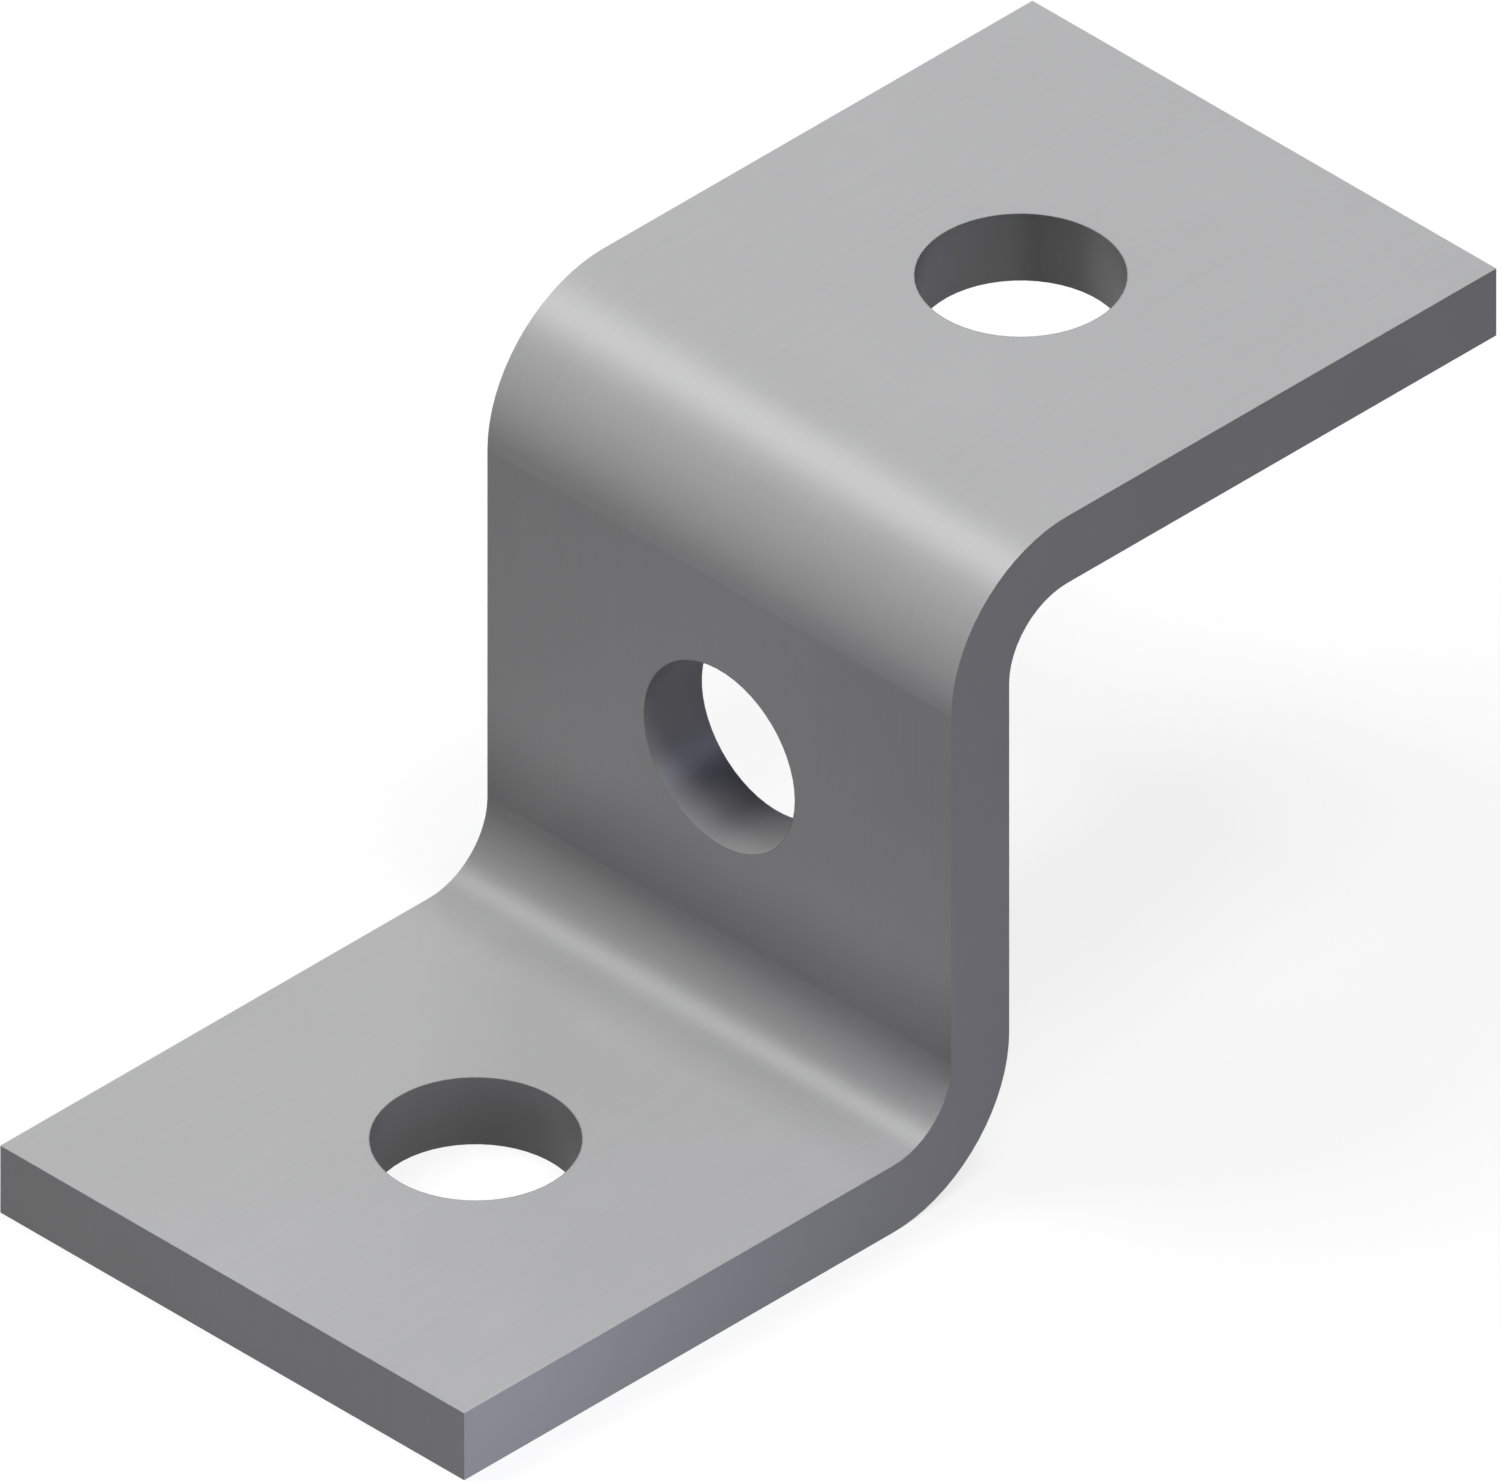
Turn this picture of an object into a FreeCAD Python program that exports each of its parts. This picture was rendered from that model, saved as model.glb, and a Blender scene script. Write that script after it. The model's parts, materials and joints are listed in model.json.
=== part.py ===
import FreeCAD, Part
import enum
import math
import os
import Sketcher

# Z-shaped splice bracket for steel strut channel, folded from one strip.
#
# A length of flat steel has three clearance holes punched in it and is then folded twice by a
# quarter turn, first one way and then the other. The foot is bolted down beside a 41 mm channel,
# the web stands against the channel's side, and the head lies over the channel's back.
#
# Frame: the origin is on the axis of the foot's hole, at the foot's underside. +X runs from the
# foot towards the head, +Y across the strip and +Z up. All sizes are in millimetres.

NODE = "z_bracket"

# Alias, value and meaning of each driving size.
SIZES = [
    ("strip_width", 40, "width of the flat strip, along Y"),
    ("strip_thickness", 5, "gauge of the flat strip"),
    ("seat_rise", 41, "head's underside over foot's underside: the channel's height"),
    ("foot_length", 47, "foot's tip to the back of the web"),
    ("head_length", 47, "front of the web to the head's tip"),
    ("fold_radius", 5, "inside radius of both folds"),
    ("bolt_diameter", 12, "thread of the bolts, M12"),
    ("bolt_clearance", 1, "how much wider than the bolts the holes are"),
    ("foot_hole_margin", 21, "foot's tip to the middle of its hole"),
    ("head_hole_margin", 21, "head's tip to the middle of its hole"),
]

HOLE_DIAMETER = "Sizes.bolt_diameter + Sizes.bolt_clearance"

# The head's hole is set out from the head's own tip, and the foot's hole is the origin.
HEAD_HOLE_X = (
    "Sizes.foot_length - Sizes.foot_hole_margin - Sizes.strip_thickness"
    " + Sizes.head_length - Sizes.head_hole_margin"
)

# Halfway up the bracket, so that the bracket is the same turned end for end.
WEB_HOLE_HEIGHT = "(Sizes.seat_rise + Sizes.strip_thickness) / 2"


class Spot(enum.IntEnum):
    """The sketcher's numbers for the points of a line or arc."""

    START = 1
    END = 2
    CENTRE = 3


class Axis(enum.IntEnum):
    """The sketcher's numbers for a sketch's own axes, which cross at its origin."""

    HORIZONTAL = -1
    VERTICAL = -2


ORIGIN = (Axis.HORIZONTAL, Spot.START)


def make_sheet(doc):
    """The driving sizes, one to a row: name, value, meaning."""
    sheet = doc.addObject("Spreadsheet::Sheet", "Sizes")
    for row, (alias, value, meaning) in enumerate(SIZES, start=1):
        sheet.set(f"A{row}", alias)
        sheet.set(f"B{row}", str(value))
        sheet.set(f"C{row}", meaning)
        sheet.setAlias(f"B{row}", alias)
    doc.recompute()
    return sheet


def sketch_on(body, plane_role, name):
    """A new sketch on one of the body's own origin planes."""
    sketch = body.newObject("Sketcher::SketchObject", name)
    plane = next(item for item in body.Origin.OriginFeatures if item.Role == plane_role)
    sketch.AttachmentSupport = [(plane, "")]
    sketch.MapMode = "FlatFace"
    return sketch


def add_dimension(sketch, name, constraint, formula):
    """Adds a named dimension to a sketch and binds it to the sheet."""
    index = sketch.addConstraint(constraint)
    sketch.renameConstraint(index, name)
    sketch.setExpression(f"Constraints.{name}", formula)


def draw_section(sketch, sheet):
    """The folded strip seen edge-on, as one closed outline in X and Z.

    The outline runs along the underside from the foot's tip to the head's tip, and back over the
    top. The two arcs of a fold share a centre, so the strip keeps its gauge round the fold.
    """
    gauge = sheet.strip_thickness
    seat = sheet.seat_rise
    inside = sheet.fold_radius
    outside = inside + gauge
    foot_tip = -sheet.foot_hole_margin
    back_x = foot_tip + sheet.foot_length
    front_x = back_x - gauge
    head_tip = front_x + sheet.head_length
    low_centre = FreeCAD.Vector(front_x - inside, outside, 0)
    high_centre = FreeCAD.Vector(back_x + inside, seat - inside, 0)

    def line(x0, z0, x1, z1):
        ends = FreeCAD.Vector(x0, z0, 0), FreeCAD.Vector(x1, z1, 0)
        return sketch.addGeometry(Part.LineSegment(*ends))

    def arc(centre, radius, first_degrees, last_degrees):
        circle = Part.Circle(centre, FreeCAD.Vector(0, 0, 1), radius)
        ends = math.radians(first_degrees), math.radians(last_degrees)
        return sketch.addGeometry(Part.ArcOfCircle(circle, *ends))

    foot_seat = line(foot_tip, 0, low_centre.x, 0)
    low_outside = arc(low_centre, outside, -90, 0)
    web_back = line(back_x, low_centre.y, back_x, high_centre.y)
    high_inside = arc(high_centre, inside, 90, 180)
    head_seat = line(high_centre.x, seat, head_tip, seat)
    head_end = line(head_tip, seat, head_tip, seat + gauge)
    head_top = line(head_tip, seat + gauge, high_centre.x, seat + gauge)
    high_outside = arc(high_centre, outside, 90, 180)
    web_front = line(front_x, high_centre.y, front_x, low_centre.y)
    low_inside = arc(low_centre, inside, -90, 0)
    foot_top = line(low_centre.x, gauge, foot_tip, gauge)
    foot_end = line(foot_tip, gauge, foot_tip, 0)

    for flat in (foot_seat, head_seat, head_top, foot_top):
        sketch.addConstraint(Sketcher.Constraint("Horizontal", flat))
    for upright in (web_back, head_end, web_front, foot_end):
        sketch.addConstraint(Sketcher.Constraint("Vertical", upright))

    # Square corners where the strip was cut off.
    for first, second in (
        (head_seat, head_end),
        (head_end, head_top),
        (foot_top, foot_end),
        (foot_end, foot_seat),
    ):
        sketch.addConstraint(Sketcher.Constraint("Coincident", first, Spot.END, second, Spot.START))

    # The folds run smoothly into the flats on both sides.
    for flat, flat_point, fold, fold_point in (
        (foot_seat, Spot.END, low_outside, Spot.START),
        (web_back, Spot.START, low_outside, Spot.END),
        (web_back, Spot.END, high_inside, Spot.END),
        (head_seat, Spot.START, high_inside, Spot.START),
        (head_top, Spot.END, high_outside, Spot.START),
        (web_front, Spot.START, high_outside, Spot.END),
        (web_front, Spot.END, low_inside, Spot.END),
        (foot_top, Spot.START, low_inside, Spot.START),
    ):
        tangent = Sketcher.Constraint("Tangent", flat, flat_point, fold, fold_point)
        sketch.addConstraint(tangent)
    for inner, outer in ((low_inside, low_outside), (high_inside, high_outside)):
        sketch.addConstraint(Sketcher.Constraint("Coincident", inner, Spot.CENTRE, outer, Spot.CENTRE))
    sketch.addConstraint(Sketcher.Constraint("Equal", low_inside, high_inside))

    # The foot's underside lies on the X axis, and its hole will be over the origin.
    seated = Sketcher.Constraint("PointOnObject", foot_seat, Spot.START, Axis.HORIZONTAL)
    sketch.addConstraint(seated)

    # Each driving size, with the two points that it lies between and its value in the drawing.
    for direction, first, second, value, size in (
        ("DistanceX", (foot_seat, Spot.START), ORIGIN, -foot_tip, "foot_hole_margin"),
        ("DistanceX", (foot_seat, Spot.START), (web_back, Spot.START), back_x - foot_tip, "foot_length"),
        ("DistanceX", (web_front, Spot.START), (head_seat, Spot.END), head_tip - front_x, "head_length"),
        ("DistanceY", (foot_seat, Spot.START), (head_seat, Spot.END), seat, "seat_rise"),
        ("DistanceY", (foot_end, Spot.END), (foot_end, Spot.START), gauge, "strip_thickness"),
    ):
        constraint = Sketcher.Constraint(direction, *first, *second, value)
        add_dimension(sketch, size, constraint, f"Sizes.{size}")
    radius = Sketcher.Constraint("Radius", low_inside, inside)
    add_dimension(sketch, "fold_radius", radius, "Sizes.fold_radius")


def mark_hole(sketch, name, direction, formula):
    """The middle of a hole, on the sketch's axis that runs in the given direction."""
    axis = Axis.HORIZONTAL if direction == "DistanceX" else Axis.VERTICAL
    point = sketch.addGeometry(Part.Point(FreeCAD.Vector(1, 1, 0)))
    sketch.addConstraint(Sketcher.Constraint("PointOnObject", point, Spot.START, axis))
    distance = Sketcher.Constraint(direction, *ORIGIN, point, Spot.START, 1)
    add_dimension(sketch, name, distance, formula)


def punch(doc, body, centres, name):
    """Clearance holes at a sketch's points, right through the wall that the sketch faces."""
    before = body.Shape.Volume
    holes = body.newObject("PartDesign::Hole", name)
    holes.Profile = centres
    holes.DepthType = "ThroughAll"
    holes.Reversed = True
    holes.setExpression("Diameter", HOLE_DIAMETER)
    doc.recompute()
    if not body.Shape.Volume < before:
        raise RuntimeError(f"{name} cut nothing")


def make_bracket(doc, sheet):
    """The strip, folded to its section, and its three holes."""
    body = doc.addObject("PartDesign::Body", NODE)
    body.Label = NODE

    section = sketch_on(body, "XZ_Plane", "folded_section")
    draw_section(section, sheet)
    strip = body.newObject("PartDesign::Pad", "folded_strip")
    strip.Profile = section
    strip.SideType = "Symmetric"
    strip.setExpression("Length", "Sizes.strip_width")
    doc.recompute()

    seat_centres = sketch_on(body, "XY_Plane", "seat_hole_centres")
    foot_centre = seat_centres.addGeometry(Part.Point(FreeCAD.Vector(0, 0, 0)))
    over_origin = Sketcher.Constraint("Coincident", foot_centre, Spot.START, *ORIGIN)
    seat_centres.addConstraint(over_origin)
    mark_hole(seat_centres, "head_hole_x", "DistanceX", HEAD_HOLE_X)
    doc.recompute()
    punch(doc, body, seat_centres, "seat_holes")

    web_centre = sketch_on(body, "YZ_Plane", "web_hole_centre")
    mark_hole(web_centre, "web_hole_height", "DistanceY", WEB_HOLE_HEIGHT)
    doc.recompute()
    punch(doc, body, web_centre, "web_hole")
    return body


def check(doc, bodies):
    """Stops on anything that failed to build, before a file is written."""
    for item in doc.Objects:
        if {"Invalid", "Error"} & set(item.State):
            raise RuntimeError(f"{item.Name} failed: {item.State}")
    for sketch in doc.findObjects("Sketcher::SketchObject"):
        if not sketch.FullyConstrained:
            raise RuntimeError(f"{sketch.Name} isn't fully constrained")
    for body in bodies:
        if body.Shape.isNull() or not body.Shape.isValid():
            raise RuntimeError(f"{body.Label} has no valid shape")


def main():
    doc = FreeCAD.newDocument("splice_bracket")
    bodies = [make_bracket(doc, make_sheet(doc))]
    check(doc, bodies)

    os.makedirs("parts", exist_ok=True)
    for body in bodies:
        body.Shape.exportStep(f"parts/{body.Label}.step")
        print(body.Label, f"{body.Shape.Volume:.1f} mm3", body.Shape.BoundBox)


main()
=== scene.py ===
import json
import math

import bpy
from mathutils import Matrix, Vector


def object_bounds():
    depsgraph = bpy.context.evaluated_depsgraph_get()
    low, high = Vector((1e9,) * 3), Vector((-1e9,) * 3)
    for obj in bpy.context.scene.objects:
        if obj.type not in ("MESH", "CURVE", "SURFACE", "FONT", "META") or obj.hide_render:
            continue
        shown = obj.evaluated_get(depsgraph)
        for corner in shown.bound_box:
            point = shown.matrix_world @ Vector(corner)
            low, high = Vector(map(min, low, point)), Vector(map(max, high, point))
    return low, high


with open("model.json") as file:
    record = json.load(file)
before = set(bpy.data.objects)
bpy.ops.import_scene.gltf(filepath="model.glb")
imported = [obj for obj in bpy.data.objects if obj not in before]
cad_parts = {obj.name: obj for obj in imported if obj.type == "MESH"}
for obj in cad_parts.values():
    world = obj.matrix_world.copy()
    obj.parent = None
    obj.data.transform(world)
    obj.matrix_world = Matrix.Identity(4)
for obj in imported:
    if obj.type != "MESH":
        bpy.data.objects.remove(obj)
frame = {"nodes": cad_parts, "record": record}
cad_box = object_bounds()


# The bracket.
# One strip of 5 mm flat steel, cut off square at both ends, with three punched holes and two folds.
# It is zinc-plated after the folding, which gives one satin skin to the faces, the cut edges and
# the walls of the holes alike.

MILLIMETRE = 0.001

bracket = frame["nodes"]["z_bracket"]
mounts = {mount["name"]: mount for mount in frame["record"]["mounts"]}

# The folds are fine facets. Smooth shading joins them, weighted by area so that the flats beside
# them stay flat, and the strip's square edges stay sharp.
SHARP_ANGLE = math.radians(40)

bracket.data.shade_smooth()
sharp_edges = bracket.modifiers.new("sharp_edges", "EDGE_SPLIT")
sharp_edges.split_angle = SHARP_ANGLE
flat_faces = bracket.modifiers.new("flat_faces", "WEIGHTED_NORMAL")
flat_faces.mode = "FACE_AREA"
flat_faces.keep_sharp = True


def linear(hex_colour):
    """An sRGB hex colour as the linear RGBA that a shader's socket takes."""
    channels = [int(hex_colour[i:i + 2], 16) / 255 for i in (1, 3, 5)]
    return [c / 12.92 if c <= 0.04045 else ((c + 0.055) / 1.055) ** 2.4 for c in channels] + [1.0]


def add_node(tree, kind, inputs=None, **settings):
    """Adds a node with its settings, and its inputs as values or as the sockets that feed them."""
    node = tree.nodes.new(kind)
    for name, value in settings.items():
        setattr(node, name, value)
    for name, value in (inputs or {}).items():
        if isinstance(value, bpy.types.NodeSocket):
            tree.links.new(value, node.inputs[name])
        else:
            node.inputs[name].default_value = value
    return node


# The mill rolls finer marks than these into the strip, about 0.05 mm apart. They are drawn five
# times as coarse, because at their own size they don't show.
ROLLING_MARK_WIDTH = 0.25 * MILLIMETRE
ROLLING_MARK_LENGTH = 20 * MILLIMETRE
ROLLING_MARK_DEPTH = 0.005 * MILLIMETRE

# The zinc goes on a little thicker here and thinner there, in clouds of about this size. The
# thicker parts are lighter and a little rougher.
CLOUD_SIZE = 8 * MILLIMETRE
THIN_ZINC = "#ABABAB"
THICK_ZINC = "#AFAFAF"
THIN_ZINC_ROUGHNESS = 0.31
THICK_ZINC_ROUGHNESS = 0.37

# Noise lies mostly between these two values.
NOISE_LOW = 0.3
NOISE_HIGH = 0.7

# Painted shade: the inside of a fold, centred a little way up the web from its corner, and the wall
# of a hole are painted a darker grey, as these shares of the zinc's own colour.
PAINTED_FOLD_SHADE_RISE = 4 * MILLIMETRE
PAINTED_FOLD_SHADE_REACH = 9 * MILLIMETRE
PAINTED_SHADE_IN_FOLD = 0.65
PAINTED_SHADE_IN_HOLE = 0.77

# A face is on a fold's open side when its normal points at least this far that way.
OPEN_SIDE_LEAST = 0.5

# A hole's wall is found by its distance from the hole's axis, with this much to spare.
WALL_MARGIN = 0.05 * MILLIMETRE


def satin_zinc_plate():
    """Satin zinc on flat steel, plated after folding.

    The eye sees an even, slightly cool grey with a soft broad sheen. Faint rolling marks run along
    the strip and round the folds. A painted shade darkens the grey inside the folds and in the
    holes.
    """
    material = bpy.data.materials.new("satin_zinc_plate")
    material.use_nodes = True
    tree = material.node_tree
    place = add_node(tree, "ShaderNodeTexCoord")

    # Narrow across the strip and long in both other directions, so that the marks run along the
    # flats, bend with the folds, and cross the sheared ends and the punched walls from face to face.
    along_strip = add_node(tree, "ShaderNodeMapping", {
        "Vector": place.outputs["Object"],
        "Scale": (1 / ROLLING_MARK_LENGTH, 1 / ROLLING_MARK_WIDTH, 1 / ROLLING_MARK_LENGTH)})
    rolling_marks = add_node(tree, "ShaderNodeTexNoise", {
        "Vector": along_strip.outputs[0], "Scale": 1.0, "Detail": 2.0, "Roughness": 0.6})
    clouds = add_node(tree, "ShaderNodeTexNoise", {
        "Vector": place.outputs["Object"], "Scale": 1 / CLOUD_SIZE, "Detail": 3.0})

    marks_and_clouds = add_node(tree, "ShaderNodeMix", {
        "Factor": 0.5, "A": rolling_marks.outputs[0], "B": clouds.outputs[0]}, data_type="FLOAT")
    zinc = add_node(tree, "ShaderNodeValToRGB", {0: marks_and_clouds.outputs[0]})
    thin_end, thick_end = zinc.color_ramp.elements
    thin_end.position = NOISE_LOW
    thin_end.color = linear(THIN_ZINC)
    thick_end.position = NOISE_HIGH
    thick_end.color = linear(THICK_ZINC)

    # The painted shade inside each fold is full at its centre and gone at its reach. Only the faces
    # on the fold's open side take it.
    web = mounts["web_hole"]
    head = mounts["head_hole"]
    gauge = web["dims"]["length_mm"] * MILLIMETRE
    web_front = web["pos_m"][0]
    head_top = head["pos_m"][2]
    corners = (
        ((web_front, 0, gauge + PAINTED_FOLD_SHADE_RISE), (-1, 0, 1)),
        ((web_front + gauge, 0, head_top - gauge - PAINTED_FOLD_SHADE_RISE), (1, 0, -1)),
    )
    folds = []
    for corner, opening in corners:
        from_corner = add_node(tree, "ShaderNodeVectorMath", {
            0: place.outputs["Object"], 1: corner}, operation="SUBTRACT")
        in_section = add_node(tree, "ShaderNodeVectorMath", {
            0: from_corner.outputs[0], 1: (1, 0, 1)}, operation="MULTIPLY")
        distance = add_node(tree, "ShaderNodeVectorMath", {
            0: in_section.outputs[0]}, operation="LENGTH")
        nearness = add_node(tree, "ShaderNodeMapRange", {
            "Value": distance.outputs["Value"],
            "From Min": PAINTED_FOLD_SHADE_REACH, "From Max": 0.0,
            "To Min": 0.0, "To Max": 1.0}, interpolation_type="SMOOTHSTEP")
        facing = add_node(tree, "ShaderNodeVectorMath", {
            0: place.outputs["Normal"], 1: opening}, operation="DOT_PRODUCT")
        inside = add_node(tree, "ShaderNodeMath", {
            0: facing.outputs["Value"], 1: OPEN_SIDE_LEAST}, operation="GREATER_THAN")
        folds.append(add_node(tree, "ShaderNodeMath", {
            0: nearness.outputs[0], 1: inside.outputs[0]}, operation="MULTIPLY"))
    in_fold = add_node(tree, "ShaderNodeMath", {
        0: folds[0].outputs[0], 1: folds[1].outputs[0]}, operation="MAXIMUM")

    # The painted shade on a hole's wall covers whatever lies within the hole's radius of its axis.
    walls = []
    for name in ("foot_hole", "web_hole", "head_hole"):
        hole = mounts[name]
        wall_reach = hole["dims"]["r_mm"] * MILLIMETRE + WALL_MARGIN
        from_middle = add_node(tree, "ShaderNodeVectorMath", {
            0: place.outputs["Object"], 1: hole["pos_m"]}, operation="SUBTRACT")
        from_axis = add_node(tree, "ShaderNodeVectorMath", {
            0: from_middle.outputs[0], 1: [1 - abs(part) for part in hole["axis"]]},
            operation="MULTIPLY")
        distance = add_node(tree, "ShaderNodeVectorMath", {
            0: from_axis.outputs[0]}, operation="LENGTH")
        walls.append(add_node(tree, "ShaderNodeMath", {
            0: distance.outputs["Value"], 1: wall_reach}, operation="LESS_THAN"))
    in_hole = walls[0]
    for wall in walls[1:]:
        in_hole = add_node(tree, "ShaderNodeMath", {
            0: in_hole.outputs[0], 1: wall.outputs[0]}, operation="MAXIMUM")

    # Painted shade: the zinc's colour is darkened by these shares inside the folds and on the hole
    # walls.
    painted_fold_shade = add_node(tree, "ShaderNodeMapRange", {
        "Value": in_fold.outputs[0], "To Min": 1.0, "To Max": PAINTED_SHADE_IN_FOLD})
    painted_hole_shade = add_node(tree, "ShaderNodeMapRange", {
        "Value": in_hole.outputs[0], "To Min": 1.0, "To Max": PAINTED_SHADE_IN_HOLE})
    shade = add_node(tree, "ShaderNodeMath", {
        0: painted_fold_shade.outputs[0], 1: painted_hole_shade.outputs[0]}, operation="MULTIPLY")
    colour = add_node(tree, "ShaderNodeVectorMath", {
        0: zinc.outputs["Color"], "Scale": shade.outputs[0]}, operation="SCALE")

    roughness = add_node(tree, "ShaderNodeMapRange", {
        "Value": marks_and_clouds.outputs[0], "From Min": NOISE_LOW, "From Max": NOISE_HIGH,
        "To Min": THIN_ZINC_ROUGHNESS, "To Max": THICK_ZINC_ROUGHNESS})
    relief = add_node(tree, "ShaderNodeBump", {
        "Height": rolling_marks.outputs[0], "Strength": 1.0, "Distance": ROLLING_MARK_DEPTH})

    # Satin zinc shows mostly its own grey, mirrors only a little of what is round it, and has no
    # clear gloss on top.
    surface = tree.nodes["Principled BSDF"]
    surface.inputs["Metallic"].default_value = 0.1
    surface.inputs["Specular IOR Level"].default_value = 0.0
    tree.links.new(colour.outputs[0], surface.inputs["Base Color"])
    tree.links.new(roughness.outputs[0], surface.inputs["Roughness"])
    tree.links.new(relief.outputs[0], surface.inputs["Normal"])
    return material


bracket.data.materials.clear()
bracket.data.materials.append(satin_zinc_plate())


# The floor.
# A plain white sheet under the foot. The eye and reflections see it as bright as white paper, with
# the bracket's faint shadow on it. Other light falls on it as on a dark table, so that little is
# thrown back up at the bracket.

FLOOR_SIZE = 6.0
SHADOW_SHARE = 0.2

bpy.ops.mesh.primitive_plane_add(size=FLOOR_SIZE)
floor = bpy.context.object
floor.name = "floor"


def seen_rays(tree):
    """The socket that is 1 for what the eye sees straight, in a reflection or through glass."""
    rays = add_node(tree, "ShaderNodeLightPath")
    camera_or_glossy = add_node(tree, "ShaderNodeMath", {
        0: rays.outputs["Is Camera Ray"], 1: rays.outputs["Is Glossy Ray"]}, operation="MAXIMUM")
    seen = add_node(tree, "ShaderNodeMath", {
        0: camera_or_glossy.outputs[0], 1: rays.outputs["Is Transmission Ray"]}, operation="MAXIMUM")
    return seen.outputs[0]


def studio_floor():
    """White paper to the eye and in reflections, and dark to the light that bounces off it."""
    material = bpy.data.materials.new("studio_floor")
    material.use_nodes = True
    tree = material.node_tree
    tree.nodes.clear()
    white = add_node(tree, "ShaderNodeEmission", {"Color": linear("#FFFFFF"), "Strength": 1.0})
    shadowed = add_node(tree, "ShaderNodeBsdfDiffuse", {"Color": linear("#FFFFFF")})
    paper = add_node(tree, "ShaderNodeMixShader", {
        0: SHADOW_SHARE, 1: white.outputs[0], 2: shadowed.outputs[0]})
    dark_table = add_node(tree, "ShaderNodeBsdfDiffuse", {"Color": linear("#3F3F3F")})
    either = add_node(tree, "ShaderNodeMixShader", {
        0: seen_rays(tree), 1: dark_table.outputs[0], 2: paper.outputs[0]})
    add_node(tree, "ShaderNodeOutputMaterial", {"Surface": either.outputs[0]})
    return material


floor.data.materials.append(studio_floor())


# The light.
# Two softboxes give most of it: the key, high over the strip's far edge, which draws the highlight
# along the outside fold, and one overhead, a little to the near side. The rest are weak fills.

middle = (cad_box[0] + cad_box[1]) / 2


def studio_world():
    """White all round for the eye and for reflections, and unlit for everything else."""
    world = bpy.data.worlds.new("studio_world")
    world.use_nodes = True
    tree = world.node_tree
    tree.nodes.clear()
    white = add_node(tree, "ShaderNodeBackground", {
        "Color": linear("#FFFFFF"), "Strength": seen_rays(tree)})
    add_node(tree, "ShaderNodeOutputWorld", {"Surface": white.outputs[0]})
    return world


bpy.context.scene.world = studio_world()


def softbox(name, place, aim, size, watts, colour):
    """A square area lamp at a place, turned to face its aim."""
    lamp = bpy.data.lights.new(name, "AREA")
    lamp.shape = "SQUARE"
    lamp.size = size
    lamp.energy = watts
    lamp.color = linear(colour)[:3]
    holder = bpy.data.objects.new(name, lamp)
    bpy.context.scene.collection.objects.link(holder)
    holder.location = place
    holder.rotation_mode = "QUATERNION"
    holder.rotation_quaternion = (Vector(place) - Vector(aim)).to_track_quat("Z", "Y")
    holder.visible_camera = False
    return holder


softbox("key", (-0.196, 0.352, 0.788), middle, 0.46, 4.8, "#FFFFFF")
softbox("overhead", (0.024, -0.621, 2.341), middle, 1.0, 32.5, "#FFFFFF")

# A cool fill on the near cut side, two small ones low beside the foot, for its near corner and its
# tip, and a white one on the back of the web.
softbox("side_fill", (0.793, -0.769, 0.530), middle, 0.5, 1.6, "#C8C8FF")
softbox("corner_fill", (-0.024, -0.056, 0.011), (-0.021, -0.02, 0.0025), 0.02, 0.0068, "#E8E8FF")
softbox("tip_fill", (-0.08, 0, 0.003), (-0.021, 0, 0.003), 0.03, 0.006, "#F4F4FF")
softbox("back_fill", (1.000, 0.684, 0.130), middle, 0.25, 4.0, "#FFFFFF")


# The camera.
# A parallel view from over the foot's near corner, with the three axes equally foreshortened. The
# bracket fills the frame from edge to edge.

ISOMETRIC_ELEVATION = math.atan(1 / math.sqrt(2))
AZIMUTH = math.radians(-45)
FRAME_WIDTH = 91.46 * MILLIMETRE
FRAME_SHIFT = 0.00113
CAMERA_DISTANCE = 0.5

camera_data = bpy.data.cameras.new("camera")
camera = bpy.data.objects.new("camera", camera_data)
bpy.context.scene.collection.objects.link(camera)
bpy.context.scene.camera = camera
camera_data.type = "ORTHO"
camera_data.ortho_scale = FRAME_WIDTH
camera_data.shift_x = FRAME_SHIFT
back = Vector((
    math.sin(AZIMUTH) * math.cos(ISOMETRIC_ELEVATION),
    -math.cos(AZIMUTH) * math.cos(ISOMETRIC_ELEVATION),
    math.sin(ISOMETRIC_ELEVATION),
))
camera.location = middle + back * CAMERA_DISTANCE
camera.rotation_mode = "QUATERNION"
camera.rotation_quaternion = back.to_track_quat("Z", "Y")
camera_data.clip_start = 0.01
camera_data.clip_end = 10

bpy.context.scene.view_settings.view_transform = "Standard"
